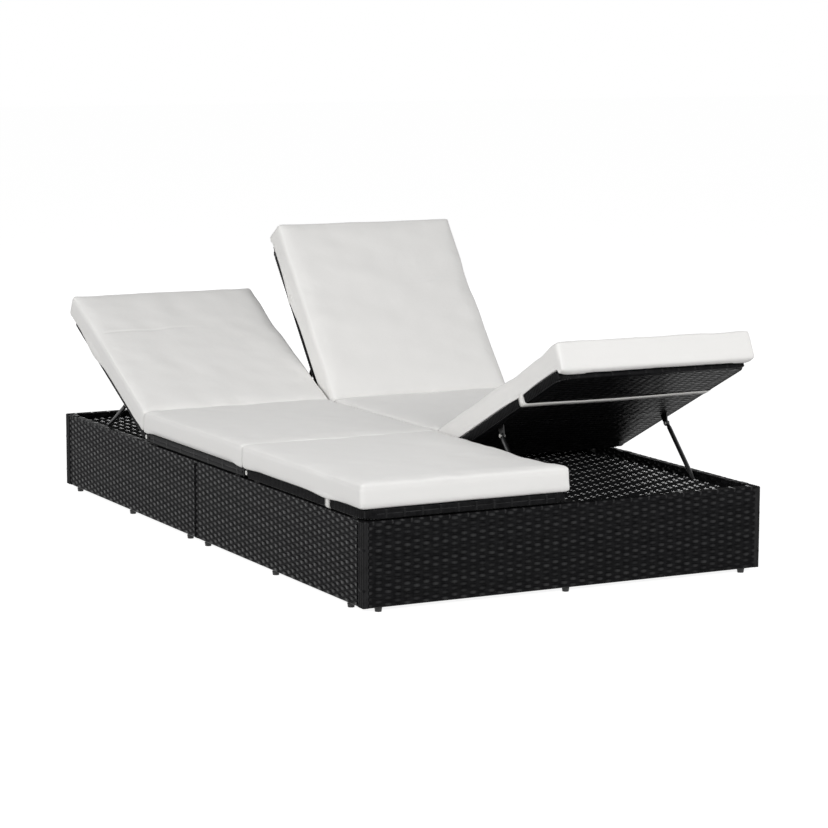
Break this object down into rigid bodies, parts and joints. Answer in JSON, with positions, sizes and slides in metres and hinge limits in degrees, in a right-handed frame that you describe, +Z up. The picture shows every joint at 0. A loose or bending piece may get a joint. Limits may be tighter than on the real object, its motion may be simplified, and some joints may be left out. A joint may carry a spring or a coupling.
{
  "type": "double chaise lounger",
  "caption": "Low woven two-person garden lounger with padded sections whose backs and foot ends fold up on prop rods.",
  "frame": {"origin": "on the floor, under the middle of the base", "axes": "+X to the right as seen from the foot end, +Y towards the head end, +Z up"},
  "size_m": [1.164, 2.008, 0.7929],
  "materials": {
    "woven_wicker": "satin",
    "cushion_cloth": "matte",
    "strap_elastic": "matte",
    "frame_steel": "satin",
    "prop_steel": "satin",
    "bright_steel": "gloss",
    "foot_plastic": "matte",
    "buffer_rubber": "matte"
  },
  "bodies": {
    "base": {"centre_beam": "frame_steel", "feet": "foot_plastic", "foot_end_frame": "frame_steel", "foot_end_weave": "woven_wicker", "frame_screws": "bright_steel", "front_deck_frames": "frame_steel", "head_end_frame": "frame_steel", "head_end_weave": "woven_wicker", "hinge_bolts": "bright_steel", "hinge_nuts": "bright_steel", "joint_plates": "frame_steel", "left_front_deck_weave": "woven_wicker", "left_front_frame": "frame_steel", "left_front_weave": "woven_wicker", "left_rear_deck_weave": "woven_wicker", "left_rear_frame": "frame_steel", "left_rear_weave": "woven_wicker", "left_seat_cushion": "cushion_cloth", "left_seat_frame": "frame_steel", "left_seat_weave": "woven_wicker", "panel_buffers": "buffer_rubber", "prop_racks": "frame_steel", "rear_deck_frames": "frame_steel", "right_front_deck_weave": "woven_wicker", "right_front_frame": "frame_steel", "right_front_weave": "woven_wicker", "right_rear_deck_weave": "woven_wicker", "right_rear_frame": "frame_steel", "right_rear_weave": "woven_wicker", "right_seat_cushion": "cushion_cloth", "right_seat_frame": "frame_steel", "right_seat_weave": "woven_wicker"},
    "left_back_panel": {"left_back_frame": "frame_steel", "left_back_weave": "woven_wicker", "left_back_cushion": "cushion_cloth", "left_back_strap": "strap_elastic", "left_back_prop_bolts": "bright_steel"},
    "left_back_props": {"left_back_outer_prop": "prop_steel", "left_back_inner_prop": "prop_steel"},
    "right_back_panel": {"right_back_frame": "frame_steel", "right_back_weave": "woven_wicker", "right_back_cushion": "cushion_cloth", "right_back_strap": "strap_elastic", "right_back_prop_bolts": "bright_steel"},
    "right_back_props": {"right_back_outer_prop": "prop_steel", "right_back_inner_prop": "prop_steel"},
    "left_foot_panel": {"left_foot_frame": "frame_steel", "left_foot_weave": "woven_wicker", "left_foot_cushion": "cushion_cloth", "left_foot_strap": "strap_elastic", "left_foot_prop_bolts": "bright_steel"},
    "left_foot_props": {"left_foot_outer_prop": "prop_steel", "left_foot_inner_prop": "prop_steel"},
    "right_foot_panel": {"right_foot_frame": "frame_steel", "right_foot_weave": "woven_wicker", "right_foot_cushion": "cushion_cloth", "right_foot_strap": "strap_elastic", "right_foot_prop_bolts": "bright_steel"},
    "right_foot_props": {"right_foot_outer_prop": "prop_steel", "right_foot_inner_prop": "prop_steel"}
  },
  "joints": [
    {"name": "left_back_hinge", "type": "hinge", "parent": "base", "child": "left_back_panel", "pos_m": [-0.286, 0.371, 0.24], "axis": [1, 0, 0], "range_deg": [-26.6, 24.9]},
    {"name": "left_back_prop_pivot", "type": "hinge", "parent": "left_back_panel", "child": "left_back_props", "pos_m": [-0.286, 0.58205, 0.30319], "axis": [-1, 0, 0], "range_deg": [-61.55, 57.65]},
    {"name": "right_back_hinge", "type": "hinge", "parent": "base", "child": "right_back_panel", "pos_m": [0.286, 0.371, 0.24], "axis": [1, 0, 0], "range_deg": [-51.5, 0]},
    {"name": "right_back_prop_pivot", "type": "hinge", "parent": "right_back_panel", "child": "right_back_props", "pos_m": [0.286, 0.53582, 0.38617], "axis": [-1, 0, 0], "range_deg": [-118.69, 0]},
    {"name": "left_foot_hinge", "type": "hinge", "parent": "base", "child": "left_foot_panel", "pos_m": [-0.286, -0.312, 0.24], "axis": [-1, 0, 0], "range_deg": [0, 38]},
    {"name": "left_foot_prop_pivot", "type": "hinge", "parent": "left_foot_panel", "child": "left_foot_props", "pos_m": [-0.286, -0.614, 0.202], "axis": [1, 0, 0], "range_deg": [0, 111.54]},
    {"name": "right_foot_hinge", "type": "hinge", "parent": "base", "child": "right_foot_panel", "pos_m": [0.286, -0.312, 0.24], "axis": [-1, 0, 0], "range_deg": [-25.7, 12.3]},
    {"name": "right_foot_prop_pivot", "type": "hinge", "parent": "right_foot_panel", "child": "right_foot_props", "pos_m": [0.286, -0.6006, 0.33672], "axis": [1, 0, 0], "range_deg": [-75.6, 36.44]}
  ],
  "couplings": [
    {"joint": "left_back_prop_pivot", "follows": "left_back_hinge", "ratio": 2.295},
    {"joint": "right_back_prop_pivot", "follows": "right_back_hinge", "ratio": 2.295},
    {"joint": "left_foot_prop_pivot", "follows": "left_foot_hinge", "ratio": 2.922},
    {"joint": "right_foot_prop_pivot", "follows": "right_foot_hinge", "ratio": 2.922}
  ]
}
